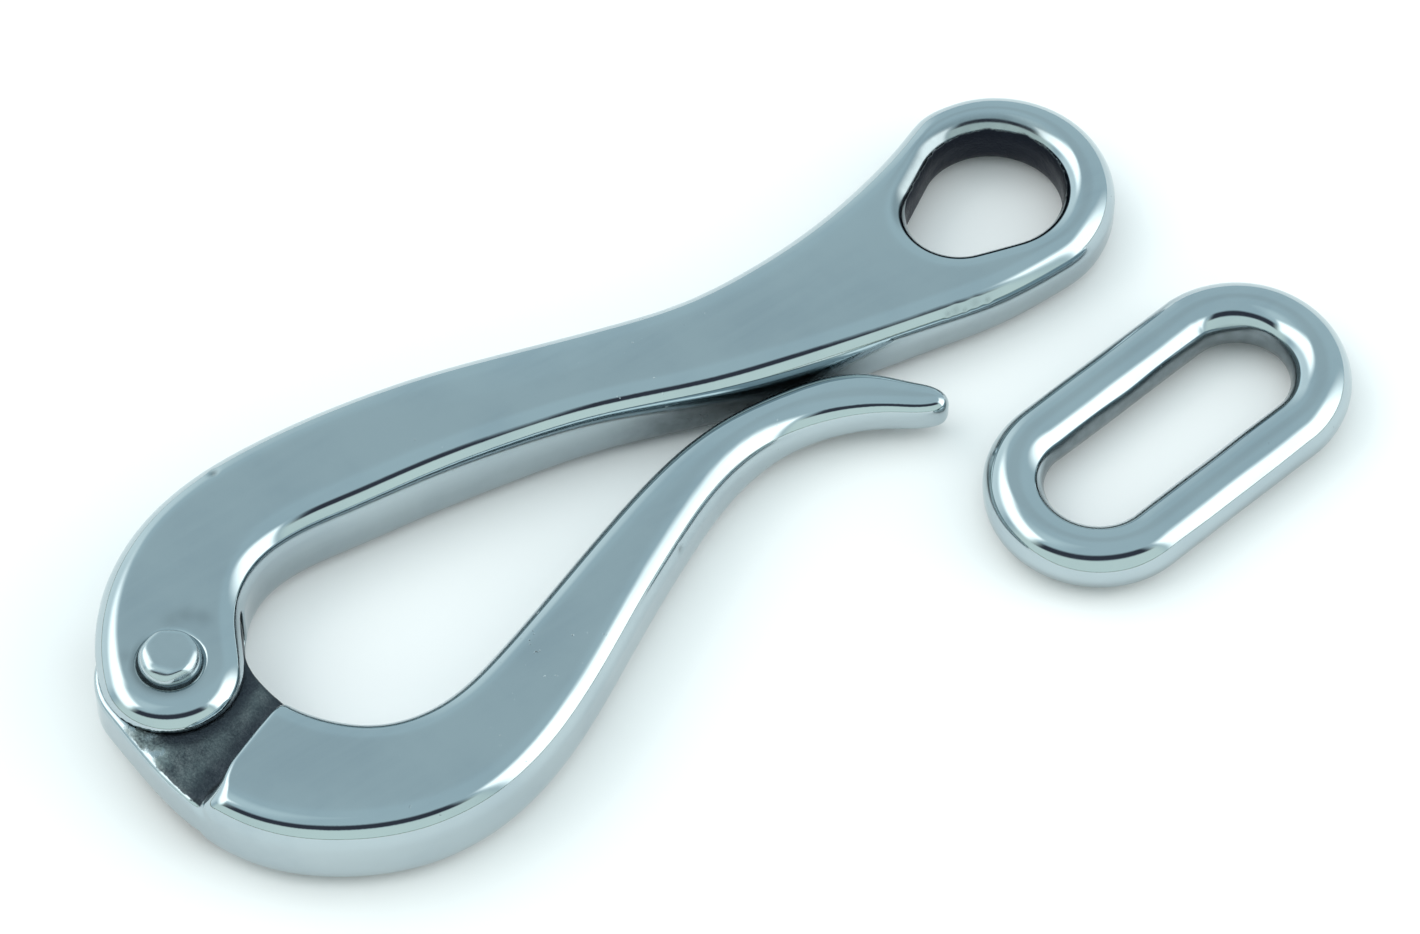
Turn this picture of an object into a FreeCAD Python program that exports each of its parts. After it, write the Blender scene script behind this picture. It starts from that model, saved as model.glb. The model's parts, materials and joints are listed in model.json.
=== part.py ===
import FreeCAD, Part
import math
import os

# Quick-release guardrail hook (pelican hook) of polished cast stainless steel, in millimetres.
# It lies on its back on the plane z = 0, and +Z is the normal of its front face.
# Plan points are measured from the pivot, with +X from the pivot towards the eye.
# At the end everything is moved so that the centre of the eye's hole is the origin.

# Driving dimensions
BODY_THICK = 9.8          # arm and knuckle
WAIST_THICK = 8.2         # shank, where the beak lies against it
EYE_THICK = 7.2           # rim of the eye
LEVER_THICK = 9.5         # lever at the shoulder
BEAK_THICK = 4.2          # lever just past the tip of the beak
BEAK_TOP = 5.7            # height of its front face there
EDGE_ROUND = 2.2          # rounding of the castings' outer edges
LEVER_ROUND = 1.1         # smaller on the lever, because its beak ends in a small tip
HOLE_ROUND = 1.7          # rounding of the eye's rim
BAR = 6.0                 # round bar that the locking link is bent from

KNUCKLE_R = 7.15          # cheeks of the fork, about the pivot
EYE_AT = (99.05, 1.1)     # centre of the eye's outer circle
EYE_R = 11.75
HOLE_AT = (98.6, 1.3)     # centre of the large end of the egg-shaped hole
HOLE_R = 7.0
HOLE_NECK_AT = (93.6, 0.7)
HOLE_NECK_R = 5.0
ORIGIN_AT = (97.1, 1.2)   # centre of the hole

MID_Z = BODY_THICK / 2
SLOT_WIDE = 5.4           # gap between the cheeks
SLOT_R = 10.6             # depth of the slot, about the pivot
SLOT_SIDE_AT = 9.5        # the slot ends sooner than that on the side of the bowl
SLOT_SIDE_TURN = 20.0     # direction of that end from the pivot, in degrees
TONGUE_WIDE = 5.1
TONGUE_R = 7.4            # outer side of the tongue
BOSS_R = 9.0              # bowl side of the tongue, which closes the slot when the hook is shut
SHOULDER_AT = 11.1        # distance of the lever's shoulder from the pivot
SHOULDER_TURN = -68.6     # direction of the shoulder from the pivot, in degrees

RIVET_R = 2.4
RIVET_FIT = 0.05          # radial running clearance in the tongue
HEAD_R = 3.0
HEAD_TOP_R = 2.05
HEAD_HIGH = 1.4
HEAD_RIM = 0.5
SEAT_R = 3.7              # mouth of the dish round the head
SEAT_DEEP = 0.5
TAIL_R = 3.3              # countersunk tail of the rivet, flush with the back
TAIL_DEEP = 0.9

LINK_AT = (95.7, -31.0)   # the link lies beside the shank
LINK_TURN = 6.0
LINK_HALF_STRAIGHT = 9.7
LINK_BEND_R = 8.1

FAR = 60.0                # further out than any part of the outline, for cutting blocks


def vec(x, y, z=0.0):
    return FreeCAD.Vector(x, y, z)


def on_circle(centre, radius, degrees):
    turn = math.radians(degrees)
    return (centre[0] + radius * math.cos(turn), centre[1] + radius * math.sin(turn))


def arc(centre, radius, start, end):
    ends = [on_circle(centre, radius, a) for a in (start, (start + end) / 2, end)]
    return Part.Arc(*[vec(x, y) for x, y in ends]).toShape()


def round_stretch(centre, radius, start, end, step=15):
    """Points along a circle from one angle to another, in degrees."""
    count = max(1, round(abs(end - start) / step))
    return [on_circle(centre, radius, start + (end - start) * i / count) for i in range(count + 1)]


def closed_curve(points):
    """Smooth closed line through the points, in four spans so that rounding it stays exact."""
    line = Part.BSplineCurve()
    line.interpolate(Points=[vec(x, y) for x, y in points], PeriodicFlag=True)
    quarter = (line.LastParameter - line.FirstParameter) / 4
    spans = []
    for i in range(4):
        span = line.copy()
        span.segment(line.FirstParameter + i * quarter, line.FirstParameter + (i + 1) * quarter)
        spans.append(span.toShape())
    return spans


def prism(edges, low, high):
    solid = Part.Face(Part.Wire(edges)).extrude(vec(0, 0, high - low))
    solid.translate(vec(0, 0, low))
    return solid


def trim(solid, profile, limit):
    """Cut away what lies between a side profile, whose points run towards +X, and z = limit."""
    line = Part.BSplineCurve()
    line.interpolate([vec(x, -FAR, z) for x, z in profile])
    start = profile[0]
    end = profile[-1]
    back = Part.makePolygon([vec(end[0], -FAR, end[1]), vec(end[0], -FAR, limit),
                             vec(start[0], -FAR, limit), vec(start[0], -FAR, start[1])])
    waste = Part.Face(Part.Wire([line.toShape()] + back.Edges)).extrude(vec(0, 2 * FAR, 0))
    return solid.cut(waste)


def rim_edges(solid, keep):
    """Edges that run round the front and back faces, where keep(x, y) is true."""
    edges = []
    for edge in solid.Edges:
        middle = (edge.FirstParameter + edge.LastParameter) / 2
        along = edge.tangentAt(middle)
        at = edge.valueAt(middle)
        if abs(along.z) < 0.5 and keep(at.x, at.y):
            edges.append(edge)
    return edges


def disc(radius, low, high):
    return Part.makeCylinder(radius, high - low, vec(0, 0, low))


def cone(low_r, high_r, low, high):
    return Part.makeCone(low_r, high_r, high - low, vec(0, 0, low))


def body_plan():
    top = [(-2.55, 9.35), (4.5, 14.85), (12.7, 17.3), (21.0, 17.45), (33.1, 15.8), (45.3, 12.9),
           (57.4, 9.6), (65.5, 7.7), (72.0, 7.35), (79.0, 7.8), (87.0, 9.3), (95.6, 12.0)]
    low = [(91.0, -10.3), (84.0, -9.0), (78.0, -7.8), (72.0, -6.5), (66.0, -5.0), (60.5, -3.3),
           (50.0, 0.4), (41.0, 2.4), (32.3, 3.9), (23.6, 5.1), (17.7, 5.7), (14.2, 5.2),
           (11.3, 3.7), (8.9, 1.2)]
    eye = round_stretch(EYE_AT, EYE_R, 95, -94)
    knuckle = round_stretch((0, 0), KNUCKLE_R, -28, -205)
    return closed_curve(top + eye + low + knuckle)


def eye_hole():
    """Egg-shaped hole: two circles and their common tangents."""
    gap_x = HOLE_AT[0] - HOLE_NECK_AT[0]
    gap_y = HOLE_AT[1] - HOLE_NECK_AT[1]
    gap = math.hypot(gap_x, gap_y)
    lean = math.degrees(math.atan2(gap_y, gap_x))
    spread = math.degrees(math.acos((HOLE_R - HOLE_NECK_R) / gap))
    up = lean + 180 - spread
    down = lean - 180 + spread
    corners = [on_circle(HOLE_AT, HOLE_R, up), on_circle(HOLE_NECK_AT, HOLE_NECK_R, up),
               on_circle(HOLE_NECK_AT, HOLE_NECK_R, down), on_circle(HOLE_AT, HOLE_R, down)]
    points = [vec(x, y) for x, y in corners]
    edges = [arc(HOLE_AT, HOLE_R, down, up),
             Part.LineSegment(points[0], points[1]).toShape(),
             arc(HOLE_NECK_AT, HOLE_NECK_R, up, down + 360),
             Part.LineSegment(points[2], points[3]).toShape()]
    return prism(edges, -1, BODY_THICK + 1)


def near_hole(x, y):
    return math.hypot(x - HOLE_AT[0], y - HOLE_AT[1]) < HOLE_R + 3.5 and x < EYE_AT[0] + EYE_R - 2


def make_body():
    flat = [(x, BODY_THICK) for x in (-15, -5, 5, 15, 25)]
    top = flat + [(36, BODY_THICK - 0.15), (48, 9.0), (60, WAIST_THICK), (70, WAIST_THICK - 0.35),
                  (80, EYE_THICK + 0.4), (98, EYE_THICK), (115, EYE_THICK - 0.1)]
    solid = trim(prism(body_plan(), 0, BODY_THICK + 2), top, BODY_THICK + 4)
    solid = solid.makeFillet(EDGE_ROUND, rim_edges(solid, lambda x, y: True))
    solid = solid.cut(eye_hole())
    solid = solid.makeFillet(HOLE_ROUND, rim_edges(solid, near_hole))
    slot_low = MID_Z - SLOT_WIDE / 2
    slot = disc(SLOT_R, slot_low, slot_low + SLOT_WIDE)
    slot_end = Part.makeBox(FAR, 2 * FAR, SLOT_WIDE + 2, vec(SLOT_SIDE_AT, -FAR, slot_low - 1))
    slot_end.rotate(vec(0, 0), vec(0, 0, 1), SLOT_SIDE_TURN)
    slot = slot.cut(slot_end)
    bore = disc(RIVET_R, -1, BODY_THICK + 1)
    seat = disc(HEAD_R, BODY_THICK - SEAT_DEEP, BODY_THICK + 1)
    dish = cone(HEAD_R, SEAT_R, BODY_THICK - SEAT_DEEP, BODY_THICK)
    sink = cone(TAIL_R, RIVET_R, 0, TAIL_DEEP)
    for tool in (slot, bore, seat, dish, sink):
        solid = solid.cut(tool)
    return solid


def lever_plan():
    outer = [(-7.25, -6.0), (-6.4, -13.0), (-3.3, -20.0), (2.6, -25.6), (9.5, -28.9),
             (17.0, -29.7), (24.4, -28.2), (38.0, -21.6), (50.0, -15.2), (56.5, -12.4),
             (63.0, -11.2), (69.5, -12.2), (74.5, -14.6)]
    tip = round_stretch((78.7, -15.4), 1.5, -115, 20, 30)
    inner = [(78.4, -12.4), (75.8, -9.5), (72.3, -7.3), (67.5, -6.0), (62.0, -5.6),
             (55.5, -6.3), (46.0, -9.0), (34.0, -13.3), (25.5, -16.2), (18.5, -17.6),
             (13.0, -16.4), (9.0, -12.9), (6.9, -9.0), (6.4, -6.0)]
    boss = [(6.5, -3.5), (7.3, -1.3), (8.6, 1.0), (8.85, 2.1)]
    boss += round_stretch((0, 0), BOSS_R, 28, 58) + [(2.0, 8.4), (-1.9, 7.7)]
    tongue = round_stretch((0, 0), TONGUE_R, 128, 185)
    return closed_curve(outer + tip + inner + boss + tongue)


def shoulder_block(low, high):
    """Block on the pivot's side of the lever's shoulder, between two heights."""
    block = Part.makeBox(FAR + SHOULDER_AT, 2 * FAR, high - low, vec(-FAR, -FAR, low))
    block.rotate(vec(0, 0), vec(0, 0, 1), SHOULDER_TURN)
    return block


def make_lever():
    half = LEVER_THICK / 2
    flat = (-15, -5, 6)
    top = [(x, MID_Z + half) for x in flat]
    top += [(18, 9.45), (30, 9.15), (50, 8.25), (60, 7.4), (70, 6.55), (85, BEAK_TOP)]
    bottom = [(x, MID_Z - half) for x in flat]
    bottom += [(18, 0.4), (30, 0.6), (50, 0.6), (60, 0.75), (70, 1.1), (85, BEAK_TOP - BEAK_THICK)]
    solid = trim(prism(lever_plan(), -2, BODY_THICK + 2), top, BODY_THICK + 4)
    solid = trim(solid, bottom, -4)
    solid = solid.makeFillet(LEVER_ROUND, rim_edges(solid, lambda x, y: True))
    for low, high in ((MID_Z + TONGUE_WIDE / 2, FAR), (-FAR, MID_Z - TONGUE_WIDE / 2)):
        solid = solid.cut(shoulder_block(low, high))
    return solid.cut(disc(RIVET_R + RIVET_FIT, -1, BODY_THICK + 1))


def make_rivet():
    seat_z = BODY_THICK - SEAT_DEEP
    rim_z = BODY_THICK + HEAD_RIM
    pieces = [disc(RIVET_R, TAIL_DEEP, seat_z), disc(HEAD_R, seat_z, rim_z),
              cone(HEAD_R, HEAD_TOP_R, rim_z, BODY_THICK + HEAD_HIGH),
              cone(TAIL_R, RIVET_R, 0, TAIL_DEEP)]
    return pieces[0].multiFuse(pieces[1:]).removeSplitter()


def make_link():
    bar_r = BAR / 2
    straights = []
    bends = []
    for side in (1, -1):
        start = vec(-LINK_HALF_STRAIGHT, side * LINK_BEND_R)
        straights.append(Part.makeCylinder(bar_r, 2 * LINK_HALF_STRAIGHT, start, vec(1, 0)))
        bend = Part.makeTorus(LINK_BEND_R, bar_r, vec(0, 0), vec(0, 0, 1), -180, 180, 180)
        bend.rotate(vec(0, 0), vec(0, 0, 1), -90 * side)
        bend.translate(vec(side * LINK_HALF_STRAIGHT, 0))
        bends.append(bend)
    link = straights[0].multiFuse([straights[1]] + bends)
    link.translate(vec(0, 0, bar_r))
    link.rotate(vec(0, 0), vec(0, 0, 1), LINK_TURN)
    link.translate(vec(*LINK_AT))
    return link


os.makedirs("parts", exist_ok=True)
for node, make in (("fixed_arm", make_body), ("hook_lever", make_lever),
                   ("pivot_rivet", make_rivet), ("locking_link", make_link)):
    shape = make()
    shape.translate(vec(-ORIGIN_AT[0], -ORIGIN_AT[1]))
    shape.exportStep("parts/" + node + ".step")
    box = shape.BoundBox
    print(node, shape.isValid(), len(shape.Solids), round(shape.Volume, 1),
          [round(v, 2) for v in (box.XMin, box.YMin, box.ZMin, box.XMax, box.YMax, box.ZMax)])
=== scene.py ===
"""Pelican hook of polished cast stainless steel, with its loose locking link.

Each casting is described as a field: a function of x, y and z that is negative inside the metal. It is
meshed with a surface net, and the mesh is then settled onto the exact surface. The fields are in
millimetres, with x and y measured from the lever's pivot and z from the plane that the hook lies on.
"""
import json
import math

import bpy
import numpy as np
from mathutils import Matrix, Vector, kdtree


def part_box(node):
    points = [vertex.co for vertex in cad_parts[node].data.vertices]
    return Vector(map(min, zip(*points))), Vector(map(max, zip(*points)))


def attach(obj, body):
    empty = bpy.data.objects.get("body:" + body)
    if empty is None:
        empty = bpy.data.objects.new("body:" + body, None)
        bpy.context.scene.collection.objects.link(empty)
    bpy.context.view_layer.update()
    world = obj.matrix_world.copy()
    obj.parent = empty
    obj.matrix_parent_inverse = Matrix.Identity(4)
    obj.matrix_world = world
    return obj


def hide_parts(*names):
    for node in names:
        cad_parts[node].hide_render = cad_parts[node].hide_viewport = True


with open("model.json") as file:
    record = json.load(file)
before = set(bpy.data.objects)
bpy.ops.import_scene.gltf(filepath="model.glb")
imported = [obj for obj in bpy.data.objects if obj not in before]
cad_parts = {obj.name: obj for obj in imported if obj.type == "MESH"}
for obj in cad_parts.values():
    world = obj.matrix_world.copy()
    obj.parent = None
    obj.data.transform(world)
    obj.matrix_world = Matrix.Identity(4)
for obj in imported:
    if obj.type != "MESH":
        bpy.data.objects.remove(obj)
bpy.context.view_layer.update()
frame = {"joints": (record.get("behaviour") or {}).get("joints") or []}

MM = 0.001
joints = {joint["name"]: joint for joint in frame["joints"]}
PIVOT = Vector(joints["lever_hinge"]["pos_m"])

# Sizes of the castings, in millimetres
ARM_THICK = 9.8
MID_Z = ARM_THICK / 2
FRONT_ROUND = 3.2
BACK_ROUND = 2.7
HOLE_ROUND = 3.0
SOFTNESS = 2.4                  # 2 would be a circular edge rounding
CROWN = 0.28                    # how much lower a face is at its edges than in its middle
CROWN_WIDE = 6.5
KNUCKLE_R = 7.15
EYE_AT = (99.05, 1.1)
EYE_R = 11.75
HOLE_AT = (98.6, 1.3)
HOLE_R = 7.0
HOLE_NECK_AT = (93.6, 0.7)
HOLE_NECK_R = 5.0
SLOT_WIDE = 5.4
SLOT_R = 10.6
SLOT_SIDE_AT = 9.5              # the slot ends sooner than that on the side of the bowl
SLOT_SIDE_TURN = math.radians(20.0)
TONGUE_WIDE = 5.1
TONGUE_R = 7.4                  # outer side of the tongue
BOSS_R = 9.0                    # bowl side of the tongue, which closes the slot when shut
LEVER_THICK = 9.5
LEVER_ROUND = 3.0
SHOULDER_AT = 11.1
SHOULDER_TURN = math.radians(-68.6)
RECESS_AT = TONGUE_WIDE / 2     # distance of the recess's floor from the middle plane
RIVET_R = 2.4
HEAD_R = 3.0
SEAT_R = 3.7
SEAT_DEEP = 0.4
ARM_FIT = 0.03                  # clearance round the rivet
LEVER_FIT = 0.05
WAVE_HIGH = 0.03                # how much polishing left the faces uneven
HEAD_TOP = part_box("pivot_rivet")[1].z / MM
BAR_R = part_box("locking_link")[1].z / MM / 2
LINK_TURN = math.radians(6.0)
LINK_HALF_STRAIGHT = 9.7
LINK_BEND_R = 8.1


# ---------------------------------------------------------------- outlines and distances

def round_stretch(centre, radius, start, end, step=15):
    """Points along a circle from one angle to another, in degrees."""
    count = max(1, round(abs(end - start) / step))
    turns = np.radians(np.linspace(start, end, count + 1))
    return [(centre[0] + radius * math.cos(t), centre[1] + radius * math.sin(t)) for t in turns]


def closed_curve(points, spacing=0.06):
    """Dense points along the smooth closed curve (a periodic cubic spline) through a few points."""
    knots = np.array(points)
    count = len(knots)
    after = np.roll(knots, -1, axis=0)
    span = np.linalg.norm(after - knots, axis=1)
    system = np.zeros((count, count))
    slope_change = np.zeros((count, 2))
    for i in range(count):
        following = (i + 1) % count
        system[i, i - 1] += span[i - 1]
        system[i, i] += 2 * (span[i - 1] + span[i])
        system[i, following] += span[i]
        slope_change[i] = 6 * ((after[i] - knots[i]) / span[i]
                               - (knots[i] - knots[i - 1]) / span[i - 1])
    bend = np.linalg.solve(system, slope_change)
    pieces = []
    for i in range(count):
        following = (i + 1) % count
        t = np.linspace(0, 1, max(2, int(span[i] / spacing)), endpoint=False)[:, None]
        s = 1 - t
        curve = (s ** 3 - s) * bend[i] + (t ** 3 - t) * bend[following]
        pieces.append(s * knots[i] + t * after[i] + curve * span[i] ** 2 / 6)
    return np.vstack(pieces)


class Grid:
    """Values on a square grid, looked up with a smooth (Catmull-Rom) blend."""

    def __init__(self, low, step, values):
        self.low = low
        self.step = step
        self.values = values

    @staticmethod
    def _weights(t):
        return (((2 - t) * t - 1) * t / 2, ((3 * t - 5) * t * t + 2) / 2,
                ((4 - 3 * t) * t + 1) * t / 2, (t - 1) * t * t / 2)

    def __call__(self, x, y):
        u, v = np.broadcast_arrays((x - self.low[0]) / self.step, (y - self.low[1]) / self.step)
        i = np.clip(np.floor(u).astype(int), 1, self.values.shape[0] - 3)
        j = np.clip(np.floor(v).astype(int), 1, self.values.shape[1] - 3)
        weights_u = self._weights(np.clip(u - i, 0, 1))
        weights_v = self._weights(np.clip(v - j, 0, 1))
        total = 0
        for a in range(4):
            row = 0
            for b in range(4):
                row = row + weights_v[b] * self.values[i + a - 1, j + b - 1]
            total = total + weights_u[a] * row
        return total


def distance_grid(outline, step=0.2, margin=3.0):
    """Signed distance to a closed outline in plan, negative inside it."""
    tangent = np.roll(outline, -1, axis=0) - np.roll(outline, 1, axis=0)
    tangent /= np.linalg.norm(tangent, axis=1)[:, None]
    x, y = outline.T
    area = np.sum(x * np.roll(y, -1) - np.roll(x, -1) * y)
    outward = np.column_stack((tangent[:, 1], -tangent[:, 0])) * np.sign(area)
    tree = kdtree.KDTree(len(outline))
    for i, (px, py) in enumerate(outline):
        tree.insert((px, py, 0), i)
    tree.balance()
    low = outline.min(0) - margin
    counts = np.ceil((outline.max(0) + margin - low) / step).astype(int) + 1
    values = np.empty(counts)
    for i in range(counts[0]):
        for j in range(counts[1]):
            at = (low[0] + i * step, low[1] + j * step)
            nearest = tree.find((at[0], at[1], 0))[1]
            away = at - outline[nearest]
            values[i, j] = away @ outward[nearest]
    return Grid(low, step, values)


def noise_grid(seed, low, high, step):
    """Smooth random bumps between about -1 and 1, a step apart."""
    counts = [int((high[k] - low[k]) / step) + 6 for k in range(2)]
    values = np.random.default_rng(seed).uniform(-1, 1, counts)
    return Grid((low[0] - 2 * step, low[1] - 2 * step), step, values)


def ease(value, start, end):
    """Smooth step from 0 at start to 1 at end, level in slope and in bend at both."""
    t = np.clip((value - start) / (end - start), 0, 1)
    return t * t * t * (t * (6 * t - 15) + 10)


def soft_max(a, b, size):
    """The larger of two fields, with the corner between them rounded over this size."""
    near = np.maximum(size - np.abs(a - b), 0) / size
    return np.maximum(a, b) + near * near * size / 4


def rounded_slab(plan, z, low, high, radius):
    """Field of a flat casting from its plan distance and its two faces.

    The edges are rounded over this radius, and their curvature starts gently, as polishing leaves it.
    """
    side = plan + radius
    face = np.maximum(low - z, z - high) + radius
    corner = (np.maximum(side, 0) ** SOFTNESS + np.maximum(face, 0) ** SOFTNESS) ** (1 / SOFTNESS)
    return np.minimum(np.maximum(side, face), 0) - radius + corner


def egg(x, y, large_at, large_r, small_at, small_r):
    """Plan distance to the hull of two circles, negative inside."""
    along = np.array(small_at) - np.array(large_at)
    length = np.hypot(*along)
    along = along / length
    px = x - large_at[0]
    py = y - large_at[1]
    across = np.abs(px * along[1] - py * along[0])
    up = px * along[0] + py * along[1]
    lean = (large_r - small_r) / length
    flank = math.sqrt(1 - lean * lean)
    side = up * flank - across * lean
    result = across * flank + up * lean - large_r
    result = np.where(side < 0, np.hypot(across, up) - large_r, result)
    return np.where(side > length * flank, np.hypot(across, up - length) - small_r, result)


def dents(x, y, z, spots):
    """How deep the dents are at each point. A spot is its place, its size and its depth."""
    total = 0.0
    for at, size, depth in spots:
        square = (x - at[0]) ** 2 + (y - at[1]) ** 2 + (z - at[2]) ** 2
        total = total + depth * np.exp(-square / (size * size))
    return total


# ---------------------------------------------------------------- the castings

# Nicks from use, as (x, y, z), size and depth
ARM_NICKS = [((15.2, 15.7, 9.4), 0.40, 0.14), ((85.4, -8.6, 6.1), 0.30, 0.05),
             ((86.3, -8.8, 6.2), 0.45, 0.04), ((87.2, -9.0, 5.9), 0.25, 0.07),
             ((88.4, -9.2, 6.2), 0.50, 0.03), ((89.7, -9.5, 6.0), 0.30, 0.05)]
LEVER_NICKS = [((47.7, -16.3, 6.6), 0.34, 0.16), ((51.3, -15.0, 7.6), 0.30, 0.05),
               ((79.2, -16.2, 3.6), 0.35, 0.10)]
# Smears of old grease beside the rivet, as (x, y, 0), size and strength
SMEARS = [((4.1, 3.4, 0), 0.9, 0.25), ((5.2, 2.2, 0), 0.9, 0.25), ((2.6, 3.7, 0), 1.0, 0.2),
          ((-3.2, 2.8, 0), 0.8, 0.2)]


def arm_outline():
    """The arm in plan: along its outer side, round the eye, back inside the bowl, round the knuckle."""
    top = [(-2.55, 9.35), (4.5, 14.85), (12.7, 17.3), (21.0, 17.45), (33.1, 15.8), (45.3, 12.9),
           (57.4, 9.6), (65.5, 7.7), (72.0, 7.35), (79.0, 7.8), (87.0, 9.3), (95.6, 12.0)]
    low = [(91.0, -10.3), (84.0, -9.0), (78.0, -7.8), (72.0, -6.5), (66.0, -5.0), (60.5, -3.3),
           (50.0, 0.4), (41.0, 2.4), (32.3, 3.9), (23.6, 5.1), (17.7, 5.7), (14.2, 5.2),
           (11.3, 3.7), (8.9, 1.2)]
    eye = round_stretch(EYE_AT, EYE_R, 95, -94)
    knuckle = round_stretch((0, 0), KNUCKLE_R, -28, -205)
    return closed_curve(top + eye + low + knuckle)


def lever_outline():
    """The lever in plan: its outer side, its tip, the inside of the bowl, its boss and tongue."""
    outer = [(-7.25, -6.0), (-6.4, -13.0), (-3.3, -20.0), (2.6, -25.6), (9.5, -28.9),
             (17.0, -29.7), (24.4, -28.2), (38.0, -21.6), (50.0, -15.2), (56.5, -12.4),
             (63.0, -11.2), (69.5, -12.2), (74.5, -14.6)]
    tip = round_stretch((78.7, -15.4), 1.5, -115, 20, 30)
    inner = [(78.4, -12.4), (75.8, -9.5), (72.3, -7.3), (67.5, -6.0), (62.0, -5.6),
             (55.5, -6.3), (46.0, -9.0), (34.0, -13.3), (25.5, -16.2), (18.5, -17.6),
             (13.0, -16.4), (9.0, -12.9), (6.9, -9.0), (6.4, -6.0)]
    boss = [(6.5, -3.5), (7.3, -1.3), (8.6, 1.0), (8.85, 2.1)]
    boss += round_stretch((0, 0), BOSS_R, 28, 58) + [(2.0, 8.4), (-1.9, 7.7)]
    tongue = round_stretch((0, 0), TONGUE_R, 128, 185)
    return closed_curve(outer + tip + inner + boss + tongue)


ARM_PLAN = distance_grid(arm_outline())
LEVER_PLAN = distance_grid(lever_outline())
CAST_GRAIN = noise_grid(3, (-14, -32), (16, 12), 0.45)
CAST_LUMPS = noise_grid(5, (-14, -32), (16, 12), 1.6)
POLISH_WAVES = noise_grid(8, (-20, -45), (125, 30), 6.0)


def arm_front(x):
    """Height of the arm's front face: thick at the knuckle, thinner at the waist and the eye."""
    return ARM_THICK - 1.55 * ease(x, 30, 66) - 1.1 * ease(x, 60, 104)


def lever_front(x):
    """Height of the lever's front face: it thins towards the beak, as its back does."""
    return MID_Z + LEVER_THICK / 2 - 0.5 * ease(x, 2, 40) - 3.6 * ease(x, 32, 92)


def lever_back(x):
    return MID_Z - LEVER_THICK / 2 + 0.45 * ease(x, 2, 40) + 1.1 * ease(x, 50, 88)


def crown(plan):
    """How far a face has fallen at this plan distance from the outline."""
    return CROWN * np.clip(1 + plan / CROWN_WIDE, 0, 1.2) ** 2


def arm_field(x, y, z):
    """Arm with the hole of its eye, the slot for the tongue, and the rivet's seat and hole."""
    plan = ARM_PLAN(x, y)
    hole = -egg(x, y, HOLE_AT, HOLE_R, HOLE_NECK_AT, HOLE_NECK_R)
    front = arm_front(x) + WAVE_HIGH * POLISH_WAVES(x, y) - crown(plan)
    back = 0.5 * crown(plan)
    rounding = BACK_ROUND + (FRONT_ROUND - BACK_ROUND) * ease(z, 3, 6)
    outer = rounded_slab(plan, z, back, front, rounding)
    field = np.maximum(outer, rounded_slab(hole, z, back, front, HOLE_ROUND))
    out = np.hypot(x, y)
    side = x * math.cos(SLOT_SIDE_TURN) + y * math.sin(SLOT_SIDE_TURN) - SLOT_SIDE_AT
    slot = soft_max(np.maximum(out - SLOT_R, side), np.abs(z - MID_Z) - SLOT_WIDE / 2, 0.8)
    field = soft_max(field, -slot, 0.35)
    dip = SEAT_DEEP * (1 - ease(out, HEAD_R - 0.1, SEAT_R - 0.1))
    field = soft_max(field, z - front + dip, 0.1)
    field = field + dents(x, y, z, ARM_NICKS)
    return soft_max(field, RIVET_R + ARM_FIT - out, 0.1)


def shoulder(x, y):
    """Distance past the lever's shoulder, and distance along it towards the outer side.

    The shoulder is straight, and turns back a little before it meets the outer side.
    """
    outward = x * math.sin(SHOULDER_TURN) - y * math.cos(SHOULDER_TURN)
    bend = 0.5 * ease(outward, 6.5, 10.8)
    reach = x * math.cos(SHOULDER_TURN) + y * math.sin(SHOULDER_TURN) - SHOULDER_AT
    return reach + bend, outward


def lever_field(x, y, z):
    """Lever with a recess in each face round the pivot, which leaves the tongue between them."""
    plan = LEVER_PLAN(x, y)
    front = lever_front(x) + WAVE_HIGH * POLISH_WAVES(x, y) - crown(plan)
    radius = LEVER_ROUND - 1.3 * ease(x, 62, 80) - 0.5 * ease(5 - z, 0, 3) * ease(x, 40, 58)
    field = rounded_slab(plan, z, lever_back(x) + 0.5 * crown(plan), front, radius)
    reach, outward = shoulder(x, y)
    away = np.hypot(x, y)
    rough = 0.04 * CAST_GRAIN(x, y) + 0.1 * CAST_LUMPS(x, y)
    rough = rough * ease(away, KNUCKLE_R, KNUCKLE_R + 1.5) * (1 - 0.8 * ease(plan, -2.0, -0.5))
    blunt = ease(reach, -1.2, 0.2)
    height = np.clip((np.abs(z - MID_Z) - RECESS_AT) / (LEVER_THICK / 2 - RECESS_AT), 0, 1)
    slant = ease(outward, 5, 11) * height
    hollow = 1.0 - 0.4 * ease(outward, 5, 9)
    worn_rim = 0.3 * ease(plan, -0.9, 0.1) * ease(outward, 4, 9)
    # The recesses in the front and the back: how far the corner slants, how blunt the edge gets
    for side, spread, edge in ((1, 1.4, 0.9), (-1, 3.2, -0.2)):
        floor = RECESS_AT - side * (z - MID_Z) + rough - worn_rim
        recess = soft_max(reach - spread * slant, floor, hollow)
        field = soft_max(field, -recess, 0.35 + (0.35 + edge * ease(outward, 7, 10)) * blunt)
    field = field + dents(x, y, z, LEVER_NICKS)
    return soft_max(field, RIVET_R + LEVER_FIT - away, 0.1)


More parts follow.
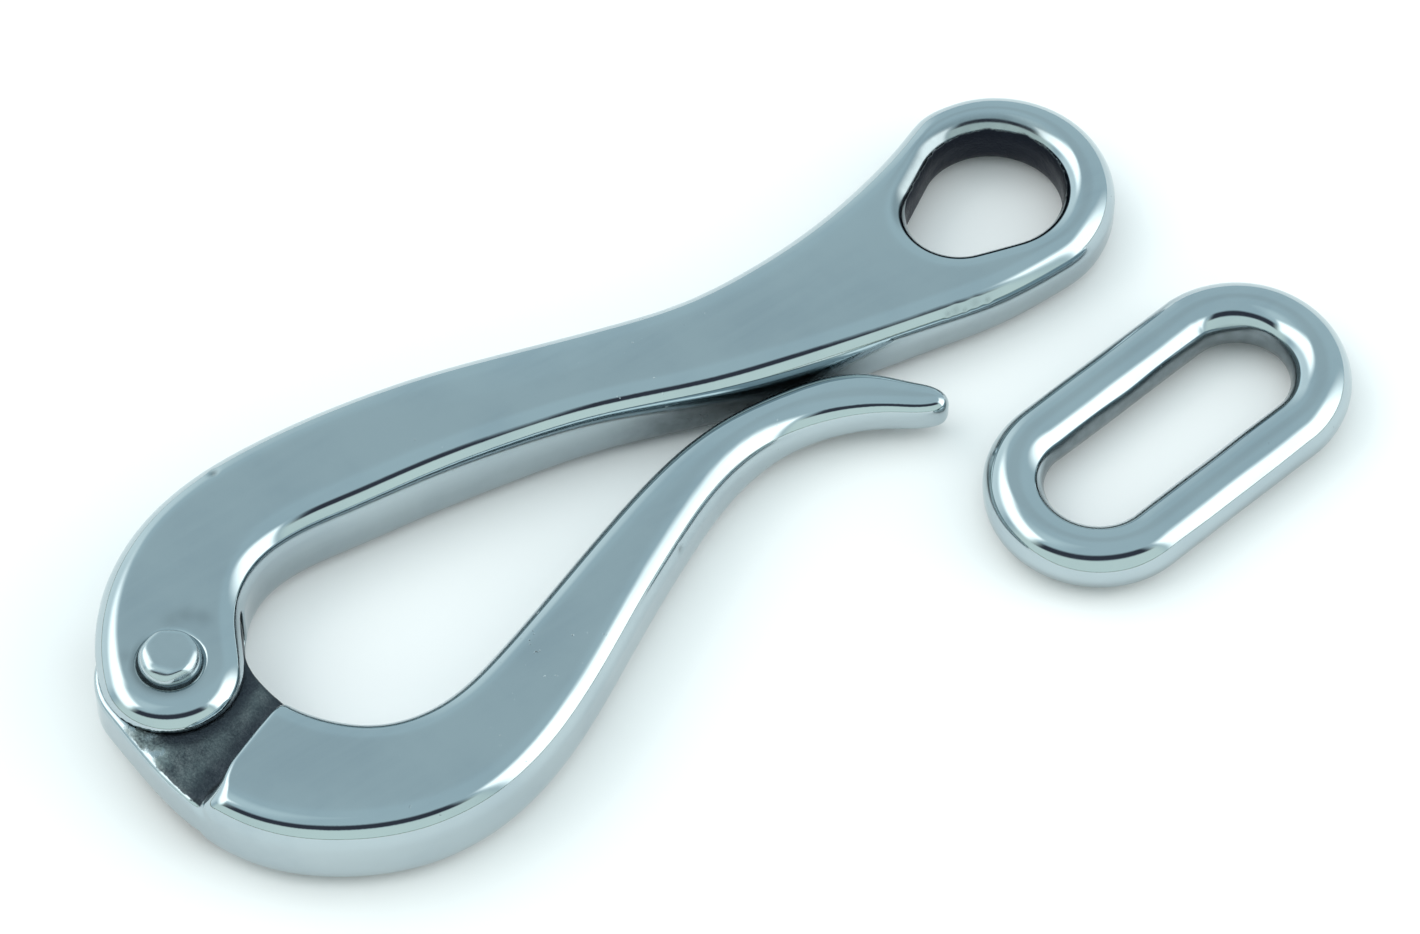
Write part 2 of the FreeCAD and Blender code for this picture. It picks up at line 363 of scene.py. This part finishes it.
def rivet_field(x, y, z):
    """Rivet whose head was hammered down: a flat top with uneven facets round it."""
    out = np.hypot(x, y)
    countersink = np.maximum(0.9 - z, 0)
    shank = np.maximum(out - RIVET_R, np.maximum(-z, z - HEAD_TOP + 0.8))
    tail = np.maximum(out - RIVET_R - countersink, np.maximum(-z, z - MID_Z))
    head = np.maximum(out - HEAD_R - 0.04 * (HEAD_TOP - z), ARM_THICK - 0.8 - z)
    above = z - HEAD_TOP + 0.06
    top = above + 0.02 * x + 0.015 * y
    # Direction of each facet, its distance from the axis at the top, and its slope
    facets = [(165, 2.15, 30), (216, 2.05, 37), (262, 2.35, 56), (306, 2.1, 42), (355, 2.4, 38),
              (50, 2.5, 45), (110, 2.45, 40)]
    for turn, at, tilt in facets:
        turn = math.radians(turn)
        tilt = math.radians(tilt)
        reach = x * math.cos(turn) + y * math.sin(turn) - at
        facet = reach * math.sin(tilt) + above * math.cos(tilt)
        top = soft_max(top, facet, 0.32)
    head = soft_max(head, top, 0.7)
    return np.minimum(np.minimum(shank, tail), head)


# ---------------------------------------------------------------- meshing

def surface_net(field, low, high, step):
    """Quads on the zero surface of a field: one vertex in each grid cell that the surface crosses."""
    axes = [np.arange(low[k], high[k] + step, step) for k in range(3)]
    shape = tuple(len(axis) for axis in axes)
    values = field(axes[0][:, None, None], axes[1][None, :, None], axes[2][None, None, :])
    values = np.ascontiguousarray(np.broadcast_to(values, shape))
    inside = values < 0
    corners = [(a, b, c) for a in (0, 1) for b in (0, 1) for c in (0, 1)]
    filled = sum(inside[a:shape[0] - 1 + a, b:shape[1] - 1 + b, c:shape[2] - 1 + c].astype(int)
                 for a, b, c in corners)
    cells = np.argwhere((filled > 0) & (filled < 8))
    index = np.full([n - 1 for n in shape], -1)
    index[tuple(cells.T)] = np.arange(len(cells))

    total = np.zeros((len(cells), 3))
    crossings = np.zeros(len(cells))
    for axis in range(3):
        unit = np.eye(3, dtype=int)[axis]
        for offset in np.array([c for c in corners if c[axis] == 0]):
            start = values[tuple((cells + offset).T)]
            end = values[tuple((cells + offset + unit).T)]
            crossed = (start < 0) != (end < 0)
            share = np.where(crossed, start / np.where(crossed, start - end, 1), 0)
            total += crossed[:, None] * (offset + share[:, None] * unit)
            crossings += crossed
    verts = np.array(low) + (cells + total / crossings[:, None]) * step

    quads = []
    for axis in range(3):
        side_a, side_b = np.eye(3, dtype=int)[[(axis + 1) % 3, (axis + 2) % 3]]
        here = inside[tuple(slice(0, n - (k == axis)) for k, n in enumerate(shape))]
        ahead = inside[tuple(slice(int(k == axis), n) for k, n in enumerate(shape))]
        edges = np.argwhere(here != ahead)
        leaving = here[tuple(edges.T)]
        ring = [index[tuple((edges - shift).T)]
                for shift in (side_a + side_b, side_b, 0 * side_a, side_a)]
        quad = np.column_stack(ring)
        quad[~leaving] = quad[~leaving][:, ::-1]
        quads.append(quad)
    return verts, np.vstack(quads)


def slope(field, points, reach=0.01):
    """Gradient of a field at each point."""
    result = np.empty_like(points)
    for axis in range(3):
        shift = np.zeros(3)
        shift[axis] = reach
        ahead = field(*(points + shift).T)
        behind = field(*(points - shift).T)
        result[:, axis] = (ahead - behind) / (2 * reach)
    return result


def settle(field, points, step):
    """Move points onto the zero surface, never by more than half a grid step at a time."""
    grade = slope(field, points)
    steep = np.maximum(np.sum(grade * grade, axis=1), 0.05)
    move = -(field(*points.T) / steep)[:, None] * grade
    length = np.linalg.norm(move, axis=1)[:, None]
    return points + move * np.minimum(1, step / 2 / np.maximum(length, 1e-9)), grade


def even_out(points, quads, grade):
    """Slide points along the surface towards the middle of their neighbours."""
    edges = np.vstack([quads[:, [a, (a + 1) % 4]] for a in range(4)])
    both = np.vstack((edges, edges[:, ::-1]))
    count = np.bincount(both[:, 0], minlength=len(points))
    middle = np.column_stack([np.bincount(both[:, 0], points[both[:, 1], k], len(points))
                              for k in range(3)]) / np.maximum(count, 1)[:, None]
    normal = grade / np.maximum(np.linalg.norm(grade, axis=1), 1e-9)[:, None]
    move = middle - points
    move -= np.sum(move * normal, axis=1)[:, None] * normal
    return points + 0.6 * move


def build_piece(name, points_mm, faces, body, node, slot, place=PIVOT):
    """Make the object, put it in the row frame, and let it stand for its CAD node."""
    points = points_mm * MM + np.array((place.x, place.y, 0.0))
    mesh = bpy.data.meshes.new(name)
    mesh.from_pydata(points.tolist(), [], faces.tolist())
    mesh.polygons.foreach_set("use_smooth", [True] * len(mesh.polygons))
    mesh.update()
    piece = bpy.data.objects.new(name, mesh)
    bpy.context.scene.collection.objects.link(piece)
    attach(piece, body)
    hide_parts(node)
    return piece


def casting(name, field, low, high, step, **place):
    """Mesh a field within a box, in four rounds of settling and evening out and three of settling."""
    points, quads = surface_net(field, low, high, step)
    for _ in range(4):
        points, grade = settle(field, points, step)
        points = even_out(points, quads, grade)
    for _ in range(3):
        points, grade = settle(field, points, step)
    return build_piece(name, points, quads, **place), points


def mark(piece, name, values):
    """Store a value from 0 to 1 on each vertex, for the material to read."""
    layer = piece.data.attributes.new(name, "FLOAT", "POINT")
    layer.data.foreach_set("value", np.clip(values, 0, 1).astype(np.float32))


GRID_STEP = 0.26
RIVET_STEP = 0.13

arm, arm_points = casting(
    "arm_casting", arm_field, (-8, -11.6, -0.6), (111.5, 18.5, 10.6), GRID_STEP,
    body="arm", node="fixed_arm", slot="polished_casting")
lever, lever_points = casting(
    "lever_casting", lever_field, (-8.45, -30.85, -0.4), (81.5, 9.6, 10.3), GRID_STEP,
    body="lever", node="hook_lever", slot="polished_casting")
rivet, rivet_points = casting(
    "rivet_hammered", rivet_field, (-3.8, -3.8, -0.4), (3.8, 3.8, HEAD_TOP + 0.4), RIVET_STEP,
    body="arm", node="pivot_rivet", slot="rivet_steel")


def link_mesh():
    """Round bar bent into an oblong ring, swept section by section along its middle line."""
    around = 64
    per_bend = 72
    per_straight = 48
    sections_per_bump = 12
    path = []
    for side in (1, -1):
        for i in range(per_straight):
            x = side * LINK_HALF_STRAIGHT * (1 - 2 * i / per_straight)
            path.append(((x, side * LINK_BEND_R), (0, side)))
        for i in range(per_bend):
            angle = math.pi / 2 + math.pi * i / per_bend
            out = (side * math.cos(angle), side * math.sin(angle))
            path.append(((-side * LINK_HALF_STRAIGHT + LINK_BEND_R * out[0],
                          LINK_BEND_R * out[1]), out))
    bumps = noise_grid(21, (0, 0), (len(path) / sections_per_bump, 8), 1.0)
    points = []
    for i, (centre, out) in enumerate(path):
        for j in range(around):
            angle = 2 * math.pi * j / around
            uneven = 0.04 * float(bumps(i / sections_per_bump, 4 + 3 * math.sin(angle)))
            out_by = (BAR_R + uneven) * math.cos(angle)
            up_by = (BAR_R - 0.02) * math.sin(angle)
            points.append((centre[0] + out[0] * out_by, centre[1] + out[1] * out_by,
                           BAR_R + up_by))
    points = np.array(points)
    cos_turn = math.cos(LINK_TURN)
    sin_turn = math.sin(LINK_TURN)
    points[:, :2] = points[:, :2] @ np.array(((cos_turn, sin_turn), (-sin_turn, cos_turn)))
    faces = []
    rings = len(path)
    for i in range(rings):
        for j in range(around):
            here = i * around
            ahead = (i + 1) % rings * around
            up = (j + 1) % around
            faces.append((here + j, ahead + j, ahead + up, here + up))
    return points, np.array(faces)


link_low, link_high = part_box("locking_link")
link_points, link_faces = link_mesh()
link = build_piece("link_ring", link_points, link_faces, "link", "locking_link", "link_steel",
                   place=(link_low + link_high) / 2)


# ---------------------------------------------------------------- marks that the materials read
# The first mark is 1 where the rough dark cast surface was left, and in the rivet's seat, where that
# dark colour also paints the head's shadow; tone is how pale that cast surface is, and paints shade in
# the corners of the lever's recesses; the last mark is greasy dirt, which also paints shade on lower
# walls, between beak and arm and inside the link

def nick_grime(x, y, z, nicks, strength):
    """Grime that has settled in the nicks and just round them."""
    return dents(x, y, z, [(at, size * 1.1, strength(depth)) for at, size, depth in nicks])


def mark_arm():
    x, y, z = arm_points.T
    plan = ARM_PLAN(x, y)
    out = np.hypot(x, y)
    hole_wall = -egg(x, y, HOLE_AT, HOLE_R, HOLE_NECK_AT, HOLE_NECK_R)
    from_hole = np.hypot(x - HOLE_AT[0], y - HOLE_AT[1])
    in_hole = (ease(hole_wall, -1.5, -0.7) * ease(arm_front(x) - z, 0.8, 1.9) * ease(z, 0.3, 1.0)
               * ease(HOLE_R + 3 - from_hole, 0, 1))
    slot_wall = (ease(SLOT_WIDE / 2 + 0.25 - np.abs(z - MID_Z), 0, 0.2)
                 * ease(SLOT_R + 0.6 - out, 0, 0.3) * ease(-plan, 0.1, 0.5))
    # Painted shadow: the seat ring round the rivet head gets the dark cast colour, for polishing
    # residue and for the head's shadow, which falls heavier to the lower left.
    lower_left = 0.5 - 0.5 * np.cos(np.arctan2(y, x) - math.radians(20))
    seat = ease(HEAD_R + 0.3 + 0.25 * lower_left - out, 0, 0.4) * ease(z, MID_Z, MID_Z + 1)
    mark(arm, "skin_and_seat_shadow", np.maximum(np.maximum(in_hole, slot_wall), seat))
    mark(arm, "tone", 0.3 * ease(HEAD_R + 3 - out, 0, 1))

    # Painted shade: the walls on the bowl side darken towards the bottom, most where the beak lies
    # against the arm, and the outer wall under the eye darkens towards the bottom too.
    bowl_side = (ease(plan, -1.5, -0.3) * ease(x, 6, 12) * (1 - ease(x, 74, 82))
                 * ease(12 - x / 5 - y, 0, 1))
    by_beak = ease(x, 47, 60) * (1 - ease(x, 69, 77))
    painted_wall_shade = bowl_side * (0.25 * ease(7 - z, 0, 4) + 0.75 * by_beak * ease(6.5 - z, 0, 1.5))
    under_eye = ease(plan, -1.5, -0.3) * ease(x, 74, 84) * ease(-y, 2, 6) * ease(6 - z, 0, 3)
    painted_wall_shade = painted_wall_shade + 0.3 * under_eye
    crescent = ease(hole_wall, -1.9, -1.1) * ease(y, HOLE_AT[1] - 1, HOLE_AT[1] + 3)
    # Dirt round the rivet head, with a painted shadow of the head, heavier to the lower left.
    grime_and_head_shadow = ease(HEAD_R + 0.7 + 0.8 * lower_left - out, 0, 1.3) * ease(z, MID_Z + 2, MID_Z + 3)
    nicks = nick_grime(x, y, z, ARM_NICKS, lambda depth: min(7 * depth, 0.7))
    smears = dents(x, y, 0, SMEARS) * ease(z, MID_Z + 3, MID_Z + 4)
    stains_and_head_shadow = np.maximum(0.7 * grime_and_head_shadow, smears) + nicks
    mark(arm, "grime_and_shade", np.maximum(np.maximum(painted_wall_shade, stains_and_head_shadow), 0.45 * crescent))


def mark_lever():
    x, y, z = lever_points.T
    reach, outward = shoulder(x, y)
    inset = -LEVER_PLAN(x, y)
    floor = (ease(RECESS_AT + 0.75 - np.abs(z - MID_Z), 0, 0.3)
             * ease(0.3 * ease(outward, 5, 10) - reach, -0.1, 0.3))
    polished_rim = 0.45 * ease(outward, 4.5, 9.5)
    ledge = ease(y, -2.8, -1.6) * ease(-x, 3, 5)
    worn = ease(3.3 - inset, 0, 2.6) * ease(-y, 1.5, 3) * (1 - ease(-y, 6, 10)) * ease(-x, 0, 3)
    floor = floor * (1 - 0.42 * worn) * (1 - ledge)
    mark(lever, "skin_and_seat_shadow", floor * ease(inset, polished_rim - 0.3, polished_rim + 0.1))
    # Painted shade: the recess floor is paler in its middle and darker by the shoulder and by the
    # cheek.
    middle = ease(-reach, 0.6, 3.5) * ease(np.hypot(x, y), KNUCKLE_R + 0.2, KNUCKLE_R + 2)
    mark(lever, "tone", 0.12 + 0.3 * middle + 0.85 * worn)
    mark(lever, "grime_and_shade", nick_grime(x, y, z, LEVER_NICKS, lambda depth: 0.8))


def mark_link():
    x, y, z = link_points.T
    along = x * math.cos(LINK_TURN) + y * math.sin(LINK_TURN)
    across = -x * math.sin(LINK_TURN) + y * math.cos(LINK_TURN)
    above = z - BAR_R
    from_middle = np.hypot(np.maximum(np.abs(along) - LINK_HALF_STRAIGHT, 0), across)
    # Painted shade: the inside of the ring is darkened, and its outer side a little towards the bottom.
    inner = ease(LINK_BEND_R - from_middle, 1.5, 2.5) * ease(1.8 - above, 0, 0.9)
    outer = ease(from_middle - LINK_BEND_R, 1.8, 3.0) * ease(0.6 - above, 0, 1.8)
    mark(link, "grime_and_shade", 0.85 * inner + 0.35 * outer)


mark_arm()
mark_lever()
mark_link()


# ---------------------------------------------------------------- materials

class Nodes:
    """Short way to add and join shader nodes."""

    def __init__(self, material):
        material.use_nodes = True
        self.tree = material.node_tree
        self.tree.nodes.clear()

    def add(self, kind, **inputs):
        node = self.tree.nodes.new(kind)
        for key, value in inputs.items():
            name = key.replace("_", " ")
            if name in node.inputs:
                self.join(value, node.inputs[name])
            else:
                setattr(node, key, value)
        return node

    def join(self, value, socket):
        if isinstance(value, bpy.types.NodeSocket):
            self.tree.links.new(value, socket)
        else:
            socket.default_value = value

    def noise(self, where, scale, detail=3.0, roughness=0.5):
        node = self.add("ShaderNodeTexNoise", Vector=where, Scale=scale, Detail=detail,
                        Roughness=roughness)
        return node.outputs["Fac"]

    def ramp(self, value, start, end, low=0.0, high=1.0):
        node = self.add("ShaderNodeMapRange", Value=value)
        node.interpolation_type = "SMOOTHSTEP"
        for name, number in (("From Min", start), ("From Max", end), ("To Min", low),
                             ("To Max", high)):
            node.inputs[name].default_value = number
        return node.outputs["Result"]

    def maths(self, operation, a, b=0.0):
        node = self.add("ShaderNodeMath", operation=operation)
        self.join(a, node.inputs[0])
        self.join(b, node.inputs[1])
        return node.outputs[0]

    def mix(self, share, a, b):
        node = self.add("ShaderNodeMix", data_type="RGBA")
        self.join(share, node.inputs["Factor"])
        self.join(a, node.inputs[6])
        self.join(b, node.inputs[7])
        return node.outputs[2]

    def bump(self, height, distance, after=None):
        node = self.add("ShaderNodeBump", Height=height, Distance=distance)
        if after is not None:
            self.join(after, node.inputs["Normal"])
        return node.outputs["Normal"]


# Colours of the metal where it is clean, hazy, greasy (which also serves as painted shade), and as cast
# (whose dark colour also serves as painted shadow)
POLISHED = (0.465, 0.535, 0.562, 1)
SMOKY = (0.415, 0.485, 0.52, 1)
GREASE_AND_SHADE = (0.15, 0.175, 0.185, 1)
CAST_DARK_AND_SHADOW = (0.022, 0.026, 0.038, 1)
CAST_PALE = (0.215, 0.26, 0.262, 1)


def steel(name, waves, haze, streak_turn):
    """Polished cast stainless steel: long waves, fine streaks, haze, pits and an as-cast surface, with
    greasy dirt and painted shade and shadow from the marks.
    """
    material = bpy.data.materials.new(name)
    n = Nodes(material)
    where = n.add("ShaderNodeTexCoord").outputs["Object"]
    stretched = n.add("ShaderNodeMapping", Vector=where)
    stretched.inputs["Rotation"].default_value = (0.0, 0.0, math.radians(streak_turn))
    stretched.inputs["Scale"].default_value = (0.05, 1.0, 1.0)
    hairlines = n.noise(stretched.outputs[0], 7000.0, 2.0)
    streaks = n.noise(stretched.outputs[0], 900.0, 3.0)
    clouds = n.noise(where, 95.0, 4.0)
    mottle = n.noise(where, 900.0, 3.0)
    swell = n.noise(where, 130.0, 2.0)
    pit_seed = n.noise(where, 1500.0, 2.0, 0.7)
    pit_zone = n.ramp(n.noise(where, 60.0, 1.0), 0.58, 0.72)
    pits = n.maths("MULTIPLY", n.ramp(pit_seed, 0.70, 0.78), pit_zone)
    # This mark mixes in the greasy colour, both for dirt and for painted shade.
    grime_and_shade = n.add("ShaderNodeAttribute", attribute_name="grime_and_shade").outputs["Fac"]
    grime_and_shade = n.maths("MULTIPLY", grime_and_shade, n.ramp(mottle, 0.2, 0.7, 0.88, 1.06))

    smoke = n.maths("MULTIPLY", n.ramp(clouds, 0.35, 0.7), n.ramp(streaks, 0.25, 0.75, 0.5, 1.0))
    colour = n.mix(smoke, POLISHED, SMOKY)
    colour = n.mix(grime_and_shade, colour, GREASE_AND_SHADE)
    colour = n.mix(n.maths("MULTIPLY", pits, 0.75), colour, CAST_DARK_AND_SHADOW)
    rough = n.maths("ADD", n.ramp(mottle, 0.3, 0.75, haze * 0.7, haze * 1.4),
                    n.ramp(streaks, 0.4, 0.8, 0.0, 0.02))
    rough = n.maths("ADD", rough, n.maths("MULTIPLY", n.maths("ADD", pits, grime_and_shade), 0.2))
    normal = n.bump(swell, waves)
    normal = n.bump(hairlines, 0.0000005, normal)
    normal = n.bump(n.maths("MULTIPLY", pits, -1.0), 0.00008, normal)

    # This mark gives the as-cast surface, and the painted shadow in the rivet's seat.
    cast_skin_and_shadow = n.add("ShaderNodeAttribute", attribute_name="skin_and_seat_shadow").outputs["Fac"]
    grain = n.noise(where, 3600.0, 5.0, 0.65)
    lumps = n.noise(where, 700.0, 3.0)
    patches = n.noise(where, 330.0, 2.0)
    edge = n.maths("ADD", cast_skin_and_shadow, n.ramp(lumps, 0.2, 0.8, -0.3, 0.3))
    cast_skin_and_shadow = n.maths("MULTIPLY", n.ramp(edge, 0.35, 0.75), n.ramp(cast_skin_and_shadow, 0.02, 0.12))
    tone = n.add("ShaderNodeAttribute", attribute_name="tone").outputs["Fac"]
    speckle = n.maths("ADD", n.ramp(grain, 0.3, 0.75, 0.3, 1.1), n.ramp(patches, 0.3, 0.7, 0.0, 0.6))
    tone = n.maths("MULTIPLY", tone, speckle)
    colour = n.mix(cast_skin_and_shadow, colour, n.mix(tone, CAST_DARK_AND_SHADOW, CAST_PALE))
    rough = n.maths("ADD", rough, n.maths("MULTIPLY", cast_skin_and_shadow, 0.32))
    height = n.maths("MULTIPLY", n.maths("SUBTRACT", n.maths("ADD", grain, lumps), 1.0), cast_skin_and_shadow)
    normal = n.bump(height, 0.00009, normal)
    shader = n.add("ShaderNodeBsdfPrincipled", Metallic=1.0, Base_Color=colour, Roughness=rough,
                   Normal=normal)
    output = n.add("ShaderNodeOutputMaterial")
    n.join(shader.outputs[0], output.inputs["Surface"])
    return material


arm.data.materials.append(steel("cast_steel_arm", 0.00003, 0.05, 7))
lever.data.materials.append(steel("cast_steel_lever", 0.00003, 0.05, -30))
rivet.data.materials.append(steel("rivet_steel_worn", 0.00002, 0.17, 40))
link.data.materials.append(steel("link_steel_drawn", 0.00003, 0.06, -6))


# ---------------------------------------------------------------- stage, light and camera

# What the metal mirrors
CEILING = (0.60, 0.765, 0.82, 1)
CEILING_DIM = (0.55, 0.69, 0.735, 1)
CEILING_LIT = (0.82, 1.0, 1.04, 1)
LOW_FRONT = (0.92, 1.08, 1.03, 1)
LOW_LEFT = (0.98, 1.14, 1.17, 1)
DARK_GAP = (0.055, 0.062, 0.085, 1)
HORIZON = (0.20, 0.24, 0.13, 1)
WINDOW = (2.3, 2.4, 2.35, 1)

VIEW_TURN = math.radians(35.76)         # the object's length runs this much up and to the right
VIEW_RISE = math.radians(55.5)
VIEW_FROM = 653.6 * MM
VIEW_WIDE = 139.2 * MM                  # width of the floor that the picture spans
SENSOR = 36.0
FLOOR_HALF = 1.2
FLOOR_LOW = 0.02 * MM                   # the floor is this far below the object
right = Vector((math.cos(VIEW_TURN), -math.sin(VIEW_TURN), 0))
near = Vector((-math.sin(VIEW_TURN), -math.cos(VIEW_TURN), 0))
aim = Vector((PIVOT.x, PIVOT.y, 0)) + Vector((58.2, -6.4, 0)) * MM


def add_camera():
    data = bpy.data.cameras.new("camera")
    data.sensor_width = SENSOR
    data.lens = SENSOR * VIEW_FROM / VIEW_WIDE
    data.clip_start = 0.01
    camera = bpy.data.objects.new("camera", data)
    bpy.context.scene.collection.objects.link(camera)
    back = near * math.cos(VIEW_RISE) + Vector((0, 0, math.sin(VIEW_RISE)))
    up = back.cross(right)
    camera.matrix_world = Matrix((right, up, back)).transposed().to_4x4()
    camera.matrix_world.translation = aim + back * VIEW_FROM
    bpy.context.scene.camera = camera


def add_floor():
    half = FLOOR_HALF
    mesh = bpy.data.meshes.new("floor")
    corners = [(-half, -half, 0), (half, -half, 0), (half, half, 0), (-half, half, 0)]
    mesh.from_pydata(corners, [], [(0, 1, 2, 3)])
    floor = bpy.data.objects.new("floor", mesh)
    floor.location = (aim.x, aim.y, -FLOOR_LOW)
    bpy.context.scene.collection.objects.link(floor)
    material = bpy.data.materials.new("pale_floor")
    n = Nodes(material)
    shader = n.add("ShaderNodeBsdfPrincipled", Roughness=0.9)
    shader.inputs["Base Color"].default_value = (0.93, 0.90, 0.895, 1)
    shader.inputs["Specular IOR Level"].default_value = 0.0
    output = n.add("ShaderNodeOutputMaterial")
    n.join(shader.outputs[0], output.inputs["Surface"])
    mesh.materials.append(material)


def add_world():
    """Soft studio: an even blue-grey ceiling, a bright window each side and a dark gap in front.

    Directions are given in degrees: turn is 0 in front and 90 to the right, and rise is the height.
    A band runs from low to high, and each of its edges fades over the soft distance on both sides.
    """
    world = bpy.data.worlds.new("studio")
    bpy.context.scene.world = world
    n = Nodes(world)
    where = n.add("ShaderNodeTexCoord").outputs["Generated"]

    def along(direction):
        node = n.add("ShaderNodeVectorMath", operation="DOT_PRODUCT")
        n.join(where, node.inputs[0])
        node.inputs[1].default_value = direction
        return node.outputs["Value"]

    def band(value, low, high, soft_low, soft_high):
        return n.maths("MULTIPLY", n.ramp(value, low - soft_low, low + soft_low),
                       n.ramp(value, high - soft_high, high + soft_high, 1.0, 0.0))

    turn = n.maths("DEGREES", n.maths("ARCTAN2", along(right), along(near)))
    rise = n.maths("DEGREES", n.maths("ARCSINE", along((0, 0, 1))))
    front = band(turn, -78, 60, 10, 6)

    far_dip = n.maths("MULTIPLY", n.ramp(n.maths("ABSOLUTE", turn), 120, 165),
                      band(rise, 46, 66, 8, 8))
    colour = n.mix(far_dip, CEILING, CEILING_DIM)
    glow = n.maths("MULTIPLY", band(turn, -110, -50, 30, 25), band(rise, 55, 82, 10, 14))
    colour = n.mix(glow, colour, CEILING_LIT)
    colour = n.mix(n.maths("MULTIPLY", n.ramp(rise, 36, 48, 1.0, 0.0), front), colour, LOW_FRONT)

    # The gap is an arch, highest a little to the right
    from_top = n.maths("ADD", turn, -12.0)
    sag = n.maths("MULTIPLY", n.maths("MULTIPLY", from_top, from_top), 0.0031)
    height = n.maths("ADD", rise, sag)
    gap = n.maths("MULTIPLY", band(height, 42, 61, 3, 4), band(turn, -58, 54, 7, 6))
    colour = n.mix(gap, colour, DARK_GAP)

    low_left = n.maths("MULTIPLY", band(turn, -160, -95, 12, 12), band(rise, -4, 30, 3, 8))
    colour = n.mix(low_left, colour, LOW_LEFT)
    left_window = n.maths("MULTIPLY", band(turn, -143, -65, 10, 6), band(rise, 29, 58, 8, 5))
    colour = n.mix(left_window, colour, WINDOW)
    right_window = n.maths("MULTIPLY", band(turn, 64, 112, 4, 14), band(rise, 1.5, 49, 1, 7))
    colour = n.mix(right_window, colour, WINDOW)
    horizon = n.maths("MULTIPLY", band(rise, -3.0, 1.7, 0.4, 0.4), band(turn, -150, 115, 25, 15))
    colour = n.mix(n.maths("MULTIPLY", horizon, 0.8), colour, HORIZON)
    background = n.add("ShaderNodeBackground")
    n.join(colour, background.inputs["Color"])
    output = n.add("ShaderNodeOutputWorld")
    n.join(background.outputs[0], output.inputs["Surface"])


def add_floor_light():
    """Overhead soft light for the floor and for rough metal. Polished metal doesn't mirror it."""
    data = bpy.data.lights.new("overhead", "SUN")
    data.angle = math.radians(80)
    data.energy = 0.85
    data.color = (0.9, 1.0, 1.0)
    light = bpy.data.objects.new("overhead", data)
    light.location = aim + Vector((0, 0, 1.1))
    light.visible_glossy = False
    light.visible_camera = False
    bpy.context.scene.collection.objects.link(light)


add_camera()
add_floor()
add_world()
add_floor_light()
bpy.context.scene.view_settings.view_transform = "Standard"
